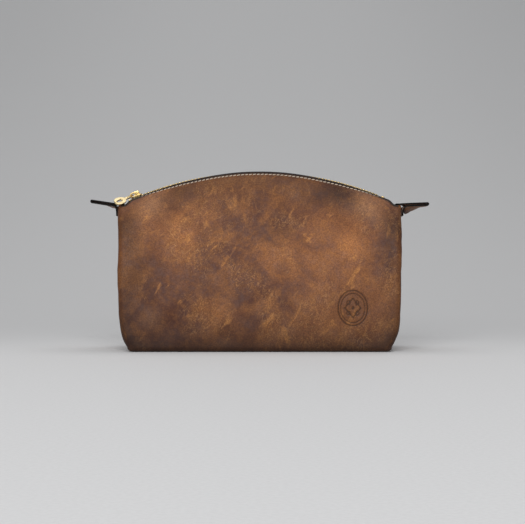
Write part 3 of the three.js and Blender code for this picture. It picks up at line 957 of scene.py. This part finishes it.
# ---- The zip: tapes, teeth and stops ----
TOOTH_PITCH = 3.0
TOOTH_HEAD = 1.3  # width along the zip where the rows mesh
TOOTH_LEG = 1.9  # width where a tooth grips the tape
TOOTH_BACK = 3.1  # how far its legs reach from the zip's middle
TOOTH_NOSE = -1.0
TOOTH_HALF_HEIGHT = 1.2
TAPE_SLOT = 0.34  # half the slot that holds the tape
TAPE_FROM = 1.5  # its inner edge, inside the teeth
TAPE_BEND = 0.34  # the share of its width that lies level
TAPE_UNDER = 0.9  # its gap under the leather


def build_tape(name, side, body, node):
    """A woven tape: level from the teeth to the panel's edge, then down inside the panel."""
    half = END_X - 1.2
    x = steps(-half, half, 1.6)
    across = np.concatenate([np.linspace(0, TAPE_BEND, 7), np.linspace(TAPE_BEND, 1, 10)[1:]])
    grid_v, grid_x = np.meshgrid(across, x, indexing="ij")
    tuck = np.maximum(0, (grid_v - TAPE_BEND) / (1 - TAPE_BEND))
    lengths = np.array([profile_length(v) for v in x])[None, :]
    share = np.clip(grid_v / TAPE_BEND, 0, 1)
    depth = LEATHER + TAPE_UNDER
    layers = []
    for w in (0, 1):
        y, z = profile_under(grid_x, 1 - tuck * TAPE_TUCK / lengths, depth + TAPE * w)
        inner_z = lerp(arc_z(grid_x), END_TOP - depth, dip(grid_x, TAPE_LAG)) + TAPE * (0.5 - w)
        level = grid_v < TAPE_BEND
        y_all = np.where(level, lerp(TAPE_FROM, y, share), y)
        z_all = np.where(level, lerp(inner_z, z, share**1.4), z)
        layers.append(xyz(grid_x, side * y_all, z_all))
    return place(sheet_piece(name, *layers, [tape_cloth]), body, "zip_tape", node)


def tooth_outline():
    """A tooth's section across the zip, from its nose to its two legs: (distance from the middle, height)."""
    upper = [
        (TOOTH_NOSE, 0.35),
        (TOOTH_NOSE + 0.15, 0.75),
        (TOOTH_NOSE + 0.55, 1.0),
        (0.2, 1.02),
        (0.7, TOOTH_HALF_HEIGHT),
        (TOOTH_BACK - 0.35, TOOTH_HALF_HEIGHT),
        (TOOTH_BACK, TOOTH_HALF_HEIGHT - 0.3),
        (TOOTH_BACK, TAPE_SLOT),
        (1.4, TAPE_SLOT),
    ]
    return np.array(upper + [(y, -z) for y, z in reversed(upper)])


def inset_outline(outline, amount):
    """The outline moved in by amount along its corners' normals."""
    before = unit(outline - np.roll(outline, 1, 0))
    after = unit(np.roll(outline, -1, 0) - outline)
    along = unit(before + after)
    normal = np.stack([along[:, 1], -along[:, 0]], -1)
    area = (outline[:, 0] * np.roll(outline[:, 1], -1) - np.roll(outline[:, 0], -1) * outline[:, 1]).sum()
    return outline - normal * amount * np.sign(area)


def loft(sections):
    """Points and faces of a closed body through equal loops of points, with a flat face at each end."""
    count = len(sections[0])
    faces = [list(range(count))[::-1]]
    for k in range(len(sections) - 1):
        for i in range(count):
            j = (i + 1) % count
            faces.append([k * count + i, k * count + j, (k + 1) * count + j, (k + 1) * count + i])
    faces.append([(len(sections) - 1) * count + i for i in range(count)])
    return np.vstack(sections), faces


def tooth(side, s):
    outline = tooth_outline()
    width = lerp(TOOTH_HEAD, TOOTH_LEG, smooth(0.6, 1.4, outline[:, 0]))
    sections = []
    for at, inset in ((-0.5, 0.14), (-0.36, 0.0), (0.36, 0.0), (0.5, 0.14)):
        shape = inset_outline(outline, inset)
        sections.append(zip_point(s + at * width, side * shape[:, 0], shape[:, 1]))
    return loft(sections)


def build_teeth(name, side, body, node):
    phase = 0.5 if side == FRONT else 0.0
    count = int((CHAIN_END - CHAIN_START) / TOOTH_PITCH - phase)
    starts = [CHAIN_START + 1 + (i + phase) * TOOTH_PITCH for i in range(count)]
    points, faces = combine(*(tooth(side, s) for s in starts))
    obj = mesh_piece(name, points, faces, [brass])
    return place(obj, body, "brass", node)


for side, body, word in WALLS:
    build_tape(f"{word}_tape", side, body, f"zip_tape_{word}")
    build_teeth(f"{word}_teeth", side, body, f"zip_teeth_{word}")


# ---- Plates and bars of the zip's metal parts ----
def arc_points(centre, radius, start, end, count):
    """Points round part of a circle, from start to end in degrees."""
    angles = np.radians(np.linspace(start, end, count))
    return np.stack([centre[0] + radius * np.cos(angles), centre[1] + radius * np.sin(angles)], -1)


def bezier(a, b, c, d, count):
    t = np.linspace(0, 1, count)[:, None]
    a, b, c, d = (np.array(p, float) for p in (a, b, c, d))
    return (1 - t) ** 3 * a + 3 * (1 - t) ** 2 * t * b + 3 * (1 - t) * t * t * c + t**3 * d


def rounded_rectangle(x0, x1, y0, y1, radius):
    corners = [
        arc_points((x1 - radius, y0 + radius), radius, -90, 0, 6),
        arc_points((x1 - radius, y1 - radius), radius, 0, 90, 6),
        arc_points((x0 + radius, y1 - radius), radius, 90, 180, 6),
        arc_points((x0 + radius, y0 + radius), radius, 180, 270, 6),
    ]
    return np.vstack(corners)


def bevelled_loops(outline, low, high, bevel, turns=(90, 60, 30, 0), inwards=1):
    """Loops of points up an outline from one height to another, with both its edges rounded."""
    loops = []
    for start, rise, order in ((low, bevel, turns), (high, -bevel, turns[::-1])):
        for turn in order:
            a = math.radians(turn)
            shape = inset_outline(outline, inwards * bevel * (1 - math.cos(a)))
            loops.append(xyz(*shape.T, start + rise * (1 - math.sin(a))))
    return loops


def plate(outline, low, high, bevel):
    """A plate between two heights, with rounded edges."""
    return loft(bevelled_loops(outline, low, high, bevel))


def block(x, y, z, radius=0.3, bevel=0.2):
    return plate(rounded_rectangle(*x, *y, radius), *z, bevel)


def metal_piece(name, parts, material, degrees, body, node):
    points, faces = combine(*parts)
    obj = mesh_piece(name, carried(points, degrees), faces, [material])
    return place(obj, body, "brass", node)


def degrees_at(s):
    return math.degrees(s / ZIP_RADIUS)


STOP_HALF_HEIGHT = 1.4
stop_height = (-STOP_HALF_HEIGHT, STOP_HALF_HEIGHT)
for side, _, word in WALLS:
    y_span = sorted((side * 0.5, side * TOOTH_BACK))
    stop = block((-0.9, 0.9), y_span, stop_height, 0.4, 0.35)
    metal_piece(f"{word}_top_stop", [stop], brass, degrees_at(CHAIN_START - 7), "bag", f"top_stop_{word}")
end_stop = block((-1.5, 1.5), (-TOOTH_BACK, TOOTH_BACK), stop_height, 0.6, 0.4)
metal_piece("end_stop", [end_stop], brass, degrees_at(CHAIN_END + 2.2), "bag", "bottom_stop")

# ---- The slider ----
SLIDER_HALF_LENGTH = 5.3
SLIDER_NOSE = 4.6  # half widths
SLIDER_TAIL = 4.0
CHANNEL_HALF = 1.6
PART_REACH = CHANNEL_HALF + 0.3  # how far the post and the lips run into the plates
SLIDER_TOP = 2.6
LIP_GAP = 1.0


def slider_outline():
    nose, tail, end = SLIDER_NOSE, SLIDER_TAIL, SLIDER_HALF_LENGTH
    half = np.vstack([
        bezier((-end, 0.6), (-end, 3.4), (-end + 0.7, nose), (-end + 2.4, nose), 9),
        bezier((-0.5, nose), (1.5, nose), (1.8, tail), (3.4, tail), 7),
        bezier((3.8, tail), (end, tail), (end, 3.0), (end, 0.6), 8),
    ])
    return np.vstack([half, half[::-1] * [1, -1]])


# two plates, the post that parts the rows, and a lip along each long edge
slider_parts = [
    plate(slider_outline(), CHANNEL_HALF, SLIDER_TOP, 0.35),
    plate(slider_outline(), -SLIDER_TOP, -CHANNEL_HALF, 0.35),
    block((-4.9, -3.1), (-1.0, 1.0), (-PART_REACH, PART_REACH), 0.8, 0.05),
]
for lip_y in ((-3.95, -3.45), (3.45, 3.95)):
    for lip_z in ((-PART_REACH, -LIP_GAP), (LIP_GAP, PART_REACH)):
        slider_parts.append(block((-2.4, 3.8), lip_y, lip_z, 0.15, 0.08))
metal_piece("slider", slider_parts, brass, SLIDER_ANGLE, "slider", "slider_body")

BRIDGE_FROM = -5.2
BRIDGE_TO = 3.6
BRIDGE_BAR = 0.9
BRIDGE_HEIGHT = 3.6
INNER_CONTROL = 3.6  # height of the control points of its inner curve
BRIDGE_HALF_WIDTH = 1.4
BRIDGE_HOLE_END = -1.0  # the crown is solid from here on


def bridge_outline():
    low, high, top = BRIDGE_FROM, BRIDGE_TO, BRIDGE_HEIGHT
    outer = np.vstack([
        [(low, 0)],
        bezier((low, 1.6), (low, top - 0.4), (low + 0.7, top), (low + 2.6, top), 9),
        bezier((high - 1.8, top), (high - 0.5, top), (high, top - 0.4), (high, 1.6), 9),
        [(high, 0)],
    ])
    start, end = BRIDGE_HOLE_END, low + BRIDGE_BAR
    inner = bezier((start, 0), (start, INNER_CONTROL), (end, INNER_CONTROL), (end, 0), 22)
    return np.vstack([outer, inner])


bridge_points, bridge_faces = plate(bridge_outline(), -BRIDGE_HALF_WIDTH, BRIDGE_HALF_WIDTH, 0.3)
bridge_points = bridge_points[:, [0, 2, 1]] + [0, 0, SLIDER_TOP + 0.1]
metal_piece("bridge", [(bridge_points, bridge_faces)], brass, SLIDER_ANGLE, "slider", "slider_bridge")

# ---- The ring and the pull ----
WIRE = 0.55
RING_HALF_LENGTH = 3.6
RING_HALF_WIDTH = 2.8
RING_TILT = math.radians(12)  # its front side hangs lower
RING_EYE = np.array([-2.7, 0.0, SLIDER_TOP + 1.4])
RING_CENTRE = RING_EYE - [RING_HALF_LENGTH, 0, 0]


def tilted(points, angle):
    """Points turned about the X axis."""
    x, y, z = np.moveaxis(points, -1, 0)
    c, s = math.cos(angle), math.sin(angle)
    return xyz(x, c * y - s * z, s * y + c * z)


def ring():
    """An oval ring of round wire."""
    turn = np.linspace(0, 2 * np.pi, 48, endpoint=False)[:, None]
    around = np.linspace(0, 2 * np.pi, 12, endpoint=False)[None, :]
    path = np.stack([RING_HALF_LENGTH * np.cos(turn), RING_HALF_WIDTH * np.sin(turn)], -1)
    out = unit(np.stack([RING_HALF_WIDTH * np.cos(turn), RING_HALF_LENGTH * np.sin(turn)], -1))
    flat = path + out * WIRE * np.cos(around)[..., None]
    height = WIRE * np.sin(around) + 0 * turn
    points = tilted(np.concatenate([flat, height[..., None]], -1), RING_TILT) + RING_CENTRE
    return points.reshape(-1, 3), closed_quads(*height.shape)


metal_piece("ring", [ring()], deep_brass, SLIDER_ANGLE, "link", "pull_link")

PULL_LENGTH = 17.5
PULL_HALF_WIDTH = 4.7
PULL_HALF_THICK = 0.75
PULL_START = 1.2
PULL_NECK = 1.2  # half width
PULL_NECK_END = 5.2
PULL_FLARE = 3.6
SLOT_HALF_LENGTH = 3.2
SLOT_SHORT_OF_SHOULDER = 0.6
SLOT_RADIUS = 1.2
KNUCKLE_OUTER = 1.45
KNUCKLE_BORE = 0.85
KNUCKLE_HALF = 0.8
PULL_ALONG = np.array([-0.737, -0.673, -0.07])
PULL_ACROSS = np.array([0.453, -0.416, -0.783])
KNUCKLE_AT = RING_CENTRE - RING_HALF_WIDTH * np.array([0, math.cos(RING_TILT), math.sin(RING_TILT)])


def pull_loops():
    """The pull's outline and its slot, each the same number of points from the knuckle round the same way."""
    shoulder = PULL_LENGTH - PULL_HALF_WIDTH
    side_curve = bezier(
        (PULL_NECK_END, -PULL_NECK),
        (PULL_NECK_END + 1, -PULL_FLARE),
        (shoulder - 4, -PULL_HALF_WIDTH),
        (shoulder, -PULL_HALF_WIDTH),
        18,
    )
    lower = np.vstack([[(PULL_START, -PULL_NECK * 0.5), (PULL_START + 0.3, -PULL_NECK)], side_curve])
    tip = arc_points((shoulder, 0), PULL_HALF_WIDTH, -86, 86, 24)
    outer = np.vstack([lower, tip, lower[::-1] * [1, -1]])
    slot_x = shoulder - SLOT_SHORT_OF_SHOULDER
    reach = SLOT_HALF_LENGTH - SLOT_RADIUS
    near_centre, far_centre = (slot_x - reach, 0), (slot_x + reach, 0)
    first = arc_points(near_centre, SLOT_RADIUS, 180, 270, len(lower))
    round_the_end = arc_points(far_centre, SLOT_RADIUS, -90, 90, len(tip))
    last = arc_points(near_centre, SLOT_RADIUS, 90, 180, len(lower))
    return outer, np.vstack([first, round_the_end, last])


def ring_plate(outer, hole, half, bevel):
    """A plate with a hole: up its outer edge, then down through the hole, in matching loops."""
    loops = bevelled_loops(outer, -half, half, bevel)
    loops += bevelled_loops(hole, -half, half, bevel, (90, 45, 0), -1)[::-1]
    return np.vstack(loops), closed_quads(len(loops), len(outer))


def tube(outer, bore, half):
    """A short tube along X, with rounded ends."""
    bevel = 0.15
    profile = [
        (-half, bore + bevel), (-half, outer - bevel), (-half + bevel, outer),
        (half - bevel, outer), (half, outer - bevel), (half, bore + bevel),
        (half - bevel, bore), (-half + bevel, bore),
    ]
    around = np.linspace(0, 2 * np.pi, 32, endpoint=False)
    points = [[x, r * math.cos(a), r * math.sin(a)] for x, r in profile for a in around]
    return np.array(points), closed_quads(len(profile), len(around))


def build_pull():
    along = unit(PULL_ALONG)
    across = unit(PULL_ACROSS - along * (PULL_ACROSS @ along))
    face = np.cross(along, across)
    flat, flat_faces = ring_plate(*pull_loops(), PULL_HALF_THICK, 0.3)
    blade = flat[:, :1] * along + flat[:, 1:2] * across + flat[:, 2:] * face
    stem, stem_faces = block((-1.5, 0.6), (-2.7, -1.1), (-0.55, 0.55), 0.3, 0.15)
    stem = tilted(stem, math.atan2(along[2], along[1]) + math.pi)
    knuckle = tube(KNUCKLE_OUTER, KNUCKLE_BORE, KNUCKLE_HALF)
    points, faces = combine((blade, flat_faces), (stem, stem_faces), knuckle)
    metal_piece("pull", [(points + KNUCKLE_AT, faces)], pale_brass, SLIDER_ANGLE, "pull", "pull_tab")


build_pull()


# ---- The grab tabs ----
FOLD_GAP = 0.3
TAB_ROOT_WIDTH = 16.0
TAB_TIP_WIDTH = 13.0
TAB_DARK = 0.3
TAB_START = -4.5  # its upper end, in on the bag's top
TAB_LIFT = 0.3  # how far it stands off the bag's top
TAB_FOOT = -9.5  # its lower end, below the bag's top
TAB_TURN = -3.2  # the control point over it
TAB_ROOT = 0.4 + TAB_LEATHER / 2  # how far the strip's lower end stands off the bag's end
# how far each is raised and rolled, in degrees, and how far out its lower layer turns down
TABS = {"left": (8.5, 6.0, 3.4), "right": (2.5, 24.0, 5.5)}


def level_line(start, end, height, count):
    """Points along a level line, without the last one."""
    x = np.linspace(start, end, count)[:-1]
    return np.column_stack([x, np.full(len(x), height)])


def tab_line(turn_at):
    """The strip's middle line, outward from the corner and up from the bag's top, with its normals."""
    upper = TAB_LIFT + TAB_LEATHER / 2
    fold = TAB_LEATHER / 2 + FOLD_GAP
    tip = TAB_REACH - fold - TAB_LEATHER / 2
    lower = upper - 2 * fold
    bend = turn_at / 2 + 0.4
    line = np.vstack([
        level_line(TAB_START, tip, upper, 30),
        arc_points((tip, upper - fold), fold, 90, -90, 13)[:-1],
        level_line(tip, turn_at, lower, 20),
        bezier((turn_at, lower), (bend, lower - 0.2), (TAB_ROOT, TAB_TURN), (TAB_ROOT, TAB_FOOT), 14),
    ])
    along = unit(np.gradient(line, axis=0))
    return line, np.stack([-along[:, 1], along[:, 0]], -1)


def build_tab(word, side, rise, roll, turn_at):
    line, normal = tab_line(turn_at)
    across = np.linspace(-0.5, 0.5, 13)[None, :]
    layers = []
    for w in (0.5, -0.5):
        layer = line + normal * TAB_LEATHER * w
        out, up = layer[:, :1], layer[:, 1:]
        width = lerp(TAB_ROOT_WIDTH, TAB_TIP_WIDTH, smooth(0, TAB_REACH, out))
        y = across * width
        lift = math.tan(math.radians(rise)) * np.maximum(0, out - 2) + TAB_LIFT * smooth(-2, 2, out)
        sway = math.sin(math.radians(roll)) * smooth(1.5, 7, out) * (1 - 0.8 * smooth(8, TAB_REACH, out))
        back_edge_in = smooth(-0.2, -2.2, line[:, 1:]) * smooth(-0.5, 0.1, across) * (line[:, :1] - TAB_ROOT)
        x = SIDE_HALF_WIDTH + out - back_edge_in
        layers.append(xyz(side * x, y, END_TOP + up + lift - (y + width / 2) * sway))
    obj = sheet_piece(f"{word}_grab_tab", *layers, TAB_FACES, rim_steps=5)
    paint(obj, "dark", TAB_DARK)
    return place(obj, "bag", "tab_leather", f"{word}_tab")


for side, word in ENDS:
    build_tab(word, side, *TABS[word])


# ---- Linings and the pocket ----
LINING_DEPTH = 4.0  # under the leather's outer face
LINING_HALF_X = 118.5
LINING_SPAN = (0.06, 0.92)  # from and to, as shares of the wall's profile
POCKET_DEPTH = 5.6
POCKET_HALF_X = 78.0
POCKET_SPAN = (0.16, 0.58)
POCKET_STEP = 2.5
END_LINING_INSET = 8.0  # in from the walls
END_LINING_GAP = 1.6  # off the end's leather
END_PROFILE = 150.0  # about the length that the end's lining is stepped along
BASE_LINING_INSET = 14.0
BASE_LINING_HALF_Y = 35.0
BASE_LINING_Z = 3.2


def cloth_piece(name, grid, body, node, material=lining_cloth):
    """A sheet of cloth through a grid of points, with soft wrinkles over it."""
    normals = grid_normals(grid)
    wrinkled = grid + normals * (0.35 * ripple(grid, 26, 21) + 0.15 * ripple(grid, 9, 22))[..., None]
    obj = sheet_piece(name, wrinkled, wrinkled - normals * CLOTH, [material], rim_steps=2)
    place(obj, body, "lining", node)
    return obj


def wall_cloth(side, half_x, low, high, depth, step):
    """A grid inside a wall, between two shares of its profile."""
    t, x = np.meshgrid(steps(low, high, step / PROFILE), steps(-half_x, half_x, step), indexing="ij")
    return wall_layer(side, x, t, depth)


def end_cloth(side):
    t = steps(0.05, 0.88, CLOTH_STEP / END_PROFILE)[:, None]
    half, height = profile_under(END_X, t, END_LINING_INSET)
    across = np.linspace(-1, 1, 25)[None, :]
    x = side * (side_x(height) - LEATHER - END_DISH - END_LINING_GAP)
    return xyz(x, half * across, height)


def base_cloth():
    half_x = side_x(0) - BASE_LINING_INSET
    half_y = BASE_LINING_HALF_Y
    x, y = np.meshgrid(steps(-half_x, half_x, CLOTH_STEP), steps(-half_y, half_y, CLOTH_STEP))
    return xyz(x, y, BASE_LINING_Z)


for side, body, word in WALLS:
    grid = wall_cloth(side, LINING_HALF_X, *LINING_SPAN, LINING_DEPTH, CLOTH_STEP)
    cloth_piece(f"{word}_lining_cloth", grid, body, f"{word}_lining")
for side, word in ENDS:
    cloth_piece(f"{word}_lining_cloth", end_cloth(side), "bag", f"{word}_lining")

cloth_piece("base_lining_cloth", base_cloth(), "bag", "base_lining")
pocket = wall_cloth(BACK, POCKET_HALF_X, *POCKET_SPAN, POCKET_DEPTH, POCKET_STEP)
cloth_piece("pocket_cloth_panel", pocket, "back_wall", "inner_pocket", pocket_cloth)


# ---- Floor, lights and camera ----
FLOOR_HALF_WIDTH = 6.0  # metres, as is all of this section
FLOOR_FRONT = -5.0
SWEEP_START = 0.14
SWEEP_RADIUS = 2.4
SWEEP_TOP = 7.0


def build_stage():
    """A pale floor that sweeps up into a backdrop."""
    g = Graph("studio_paper")
    tooth_of_paper = g.noise(2.0, detail=3)
    base = g.mix(g.span(tooth_of_paper, 0.3, 0.7), (0.74, 0.74, 0.745, 1), (0.77, 0.77, 0.775, 1))
    place_on_it = g.put("SeparateXYZ", Vector=g.where).outputs
    behind = g.span(place_on_it["Y"], -0.12, 0.34)
    high = g.span(place_on_it["Z"], 0.15, 1.3, 1.0, 0.1)
    # painted shade: a soft grey grade behind the bag, strongest low down, deeper beside it
    base = g.mix(g.math("MULTIPLY", behind, high), base, (0.625, 0.625, 0.63, 1))
    beside = g.span(g.math("ABSOLUTE", place_on_it["X"]), 0.1, 0.7, 0, 0.5)
    base = g.mix(g.math("MULTIPLY", behind, beside), base, (0.565, 0.565, 0.57, 1))
    paper = g.finish(base, 0.85, Specular_IOR_Level=0.1)
    profile = [(FLOOR_FRONT, 0.0), (-0.4, 0.0), (SWEEP_START, 0.0)]
    for turn in np.linspace(2, 90, 45):
        a = math.radians(turn)
        profile.append((SWEEP_START + SWEEP_RADIUS * math.sin(a), SWEEP_RADIUS * (1 - math.cos(a))))
    profile.append((SWEEP_START + SWEEP_RADIUS, SWEEP_TOP))
    points = [(x / MM, y / MM, z / MM) for y, z in profile for x in (-FLOOR_HALF_WIDTH, FLOOR_HALF_WIDTH)]
    faces = [[2 * i, 2 * i + 1, 2 * i + 3, 2 * i + 2] for i in range(len(profile) - 1)]
    obj = mesh_piece("studio_floor", points, faces, [paper])


def area_light(name, place_m, target, size, power):
    data = bpy.data.lights.new(name, "AREA")
    data.shape = "RECTANGLE"
    data.size, data.size_y = size
    data.energy = power
    light = bpy.data.objects.new(name, data)
    light.location = place_m
    light.rotation_euler = (Vector(target) - Vector(place_m)).to_track_quat("-Z", "Y").to_euler()
    bpy.context.scene.collection.objects.link(light)


def build_lights():
    area_light("overhead_softbox", (0.0, 0.3, 1.6), (0, 0.05, 0.0), (1.8, 1.0), 7)
    area_light("front_softbox", (-0.3, -2.9, 1.75), (0, 0, 0.07), (2.6, 1.4), 72)
    world = bpy.data.worlds.new("studio")
    world.use_nodes = True
    background = world.node_tree.nodes["Background"]
    background.inputs["Color"].default_value = (0.78, 0.79, 0.80, 1)
    background.inputs["Strength"].default_value = 0.32
    bpy.context.scene.world = world
    bpy.context.scene.view_settings.view_transform = "Standard"


CAMERA_LENS = 85.0  # millimetres, on a 36 mm sensor
CAMERA_PLACE = (0.0025, -1.14, 0.0797)


def build_camera():
    data = bpy.data.cameras.new("camera")
    data.lens = CAMERA_LENS
    data.sensor_width = 36
    camera = bpy.data.objects.new("camera", data)
    camera.location = CAMERA_PLACE
    camera.rotation_euler = (math.radians(90), 0, 0)
    bpy.context.scene.collection.objects.link(camera)
    bpy.context.scene.camera = camera


build_stage()
build_lights()
build_camera()
